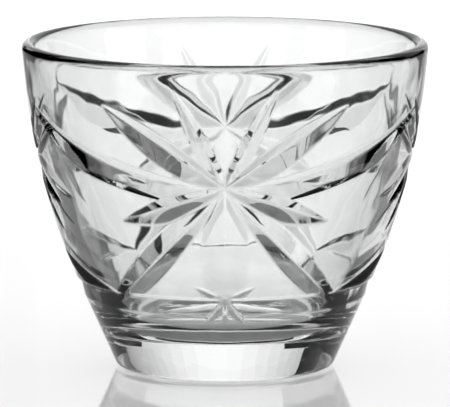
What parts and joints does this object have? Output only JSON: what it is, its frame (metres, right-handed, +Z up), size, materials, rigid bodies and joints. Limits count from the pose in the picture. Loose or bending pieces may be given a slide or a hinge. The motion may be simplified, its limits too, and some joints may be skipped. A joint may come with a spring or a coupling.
{
  "type": "sugar bowl",
  "caption": "Lidless clear pressed-glass sugar bowl, a deep flared tumbler shape on a heavy foot, cut outside with V-edged mitre stars and a ring, holding sugar at the table.",
  "frame": {"origin": "on the table under the middle of the foot", "axes": "+Z up the axis of the bowl, -Y towards the front, where one wide star faces the picture"},
  "size_m": [0.095, 0.095, 0.0766],
  "materials": {
    "glass": "clear, fire polished"
  },
  "bodies": {
    "root": {"bowl": "glass"}
  },
  "joints": []
}
